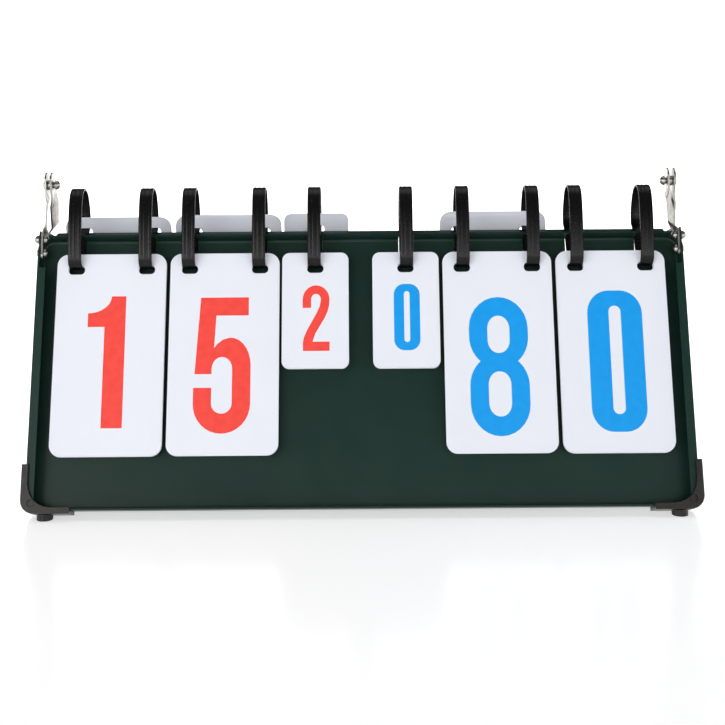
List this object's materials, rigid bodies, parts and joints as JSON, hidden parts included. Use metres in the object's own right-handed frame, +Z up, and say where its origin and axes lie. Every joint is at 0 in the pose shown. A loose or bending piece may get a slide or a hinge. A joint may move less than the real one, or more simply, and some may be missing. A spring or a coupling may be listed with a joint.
{
  "type": "flip scoreboard",
  "caption": "Tabletop flip scoreboard: two shallow metal trays hinged above their top edges as an A-frame, with large and small number cards on strap rings",
  "frame": {"origin": "on the table under the middle of the board", "axes": "X across the board, the front tray faces -Y, Z up"},
  "size_m": [0.397, 0.1396, 0.1993],
  "materials": {
    "green_paint": "semi-gloss dark green paint on sheet steel",
    "nickel": "bright nickel plate",
    "black_plastic": "satin black moulded plastic",
    "foot_rubber": "matt black rubber",
    "strap_plastic": "dark satin flexible plastic strap",
    "card_plastic": "white satin plastic sheet"
  },
  "bodies": {
    "front": {"front_tray": "green_paint", "front_left_arm": "nickel", "front_left_upper_rivet": "nickel", "front_left_lower_rivet": "nickel", "front_left_corner_guard": "black_plastic", "front_left_guard_rivet": "black_plastic", "front_left_foot": "foot_rubber", "front_right_arm": "nickel", "front_right_upper_rivet": "nickel", "front_right_lower_rivet": "nickel", "front_right_corner_guard": "black_plastic", "front_right_guard_rivet": "black_plastic", "front_right_foot": "foot_rubber", "left_hinge_pin": "nickel", "right_hinge_pin": "nickel", "ring_1": "strap_plastic", "ring_2": "strap_plastic", "ring_3": "strap_plastic", "ring_4": "strap_plastic", "ring_5": "strap_plastic", "ring_6": "strap_plastic", "ring_7": "strap_plastic", "ring_8": "strap_plastic", "ring_9": "strap_plastic", "ring_10": "strap_plastic", "home_tens_waiting_cards": "card_plastic", "home_ones_waiting_cards": "card_plastic", "home_sets_waiting_cards": "card_plastic", "guest_sets_waiting_cards": "card_plastic", "guest_tens_waiting_cards": "card_plastic", "guest_ones_waiting_cards": "card_plastic"},
    "rear": {"rear_tray": "green_paint", "rear_left_arm": "nickel", "rear_left_upper_rivet": "nickel", "rear_left_lower_rivet": "nickel", "rear_left_corner_guard": "black_plastic", "rear_left_guard_rivet": "black_plastic", "rear_left_foot": "foot_rubber", "rear_right_arm": "nickel", "rear_right_upper_rivet": "nickel", "rear_right_lower_rivet": "nickel", "rear_right_corner_guard": "black_plastic", "rear_right_guard_rivet": "black_plastic", "rear_right_foot": "foot_rubber", "home_tens_flipped_cards": "card_plastic", "home_ones_flipped_cards": "card_plastic", "home_sets_flipped_cards": "card_plastic", "guest_tens_flipped_cards": "card_plastic"},
    "home_tens_card": {"home_tens_shown_card": "card_plastic"},
    "home_ones_card": {"home_ones_shown_card": "card_plastic"},
    "home_sets_card": {"home_sets_shown_card": "card_plastic"},
    "guest_sets_card": {"guest_sets_shown_card": "card_plastic"},
    "guest_tens_card": {"guest_tens_shown_card": "card_plastic"},
    "guest_ones_card": {"guest_ones_shown_card": "card_plastic"}
  },
  "joints": [
    {"name": "fold", "type": "hinge", "parent": "front", "child": "rear", "pos_m": [0, 0, 0.19123], "axis": [1, 0, 0], "range_deg": [0, 318.5], "deforming": ["ring_1", "ring_2", "ring_3", "ring_4", "ring_5", "ring_6", "ring_7", "ring_8", "ring_9", "ring_10", "home_tens_flipped_cards", "home_ones_flipped_cards", "home_sets_flipped_cards", "guest_tens_flipped_cards"]},
    {"name": "home_tens_flip", "type": "hinge", "parent": "front", "child": "home_tens_card", "pos_m": [-0.1504, -0.0357, 0.19435], "axis": [-1, 0, 0], "range_deg": [0, 325.33], "deforming": ["ring_1", "ring_2"]},
    {"name": "home_ones_flip", "type": "hinge", "parent": "front", "child": "home_ones_card", "pos_m": [-0.082, -0.03701, 0.19647], "axis": [-1, 0, 0], "range_deg": [0, 325.36], "deforming": ["ring_3", "ring_4"]},
    {"name": "home_sets_flip", "type": "hinge", "parent": "front", "child": "home_sets_card", "pos_m": [-0.0274, -0.0433, 0.20211], "axis": [-1, 0, 0], "range_deg": [0, 329.89], "deforming": ["ring_5"]},
    {"name": "guest_sets_flip", "type": "hinge", "parent": "front", "child": "guest_sets_card", "pos_m": [0.0271, -0.04364, 0.20104], "axis": [-1, 0, 0], "range_deg": [0, 329.93], "deforming": ["ring_6"]},
    {"name": "guest_tens_flip", "type": "hinge", "parent": "front", "child": "guest_tens_card", "pos_m": [0.0824, -0.03795, 0.19806], "axis": [-1, 0, 0], "range_deg": [0, 325.38], "deforming": ["ring_7", "ring_8"]},
    {"name": "guest_ones_flip", "type": "hinge", "parent": "front", "child": "guest_ones_card", "pos_m": [0.151, -0.03776, 0.19402], "axis": [-1, 0, 0], "range_deg": [0, 325.38], "deforming": ["ring_9", "ring_10"]}
  ]
}
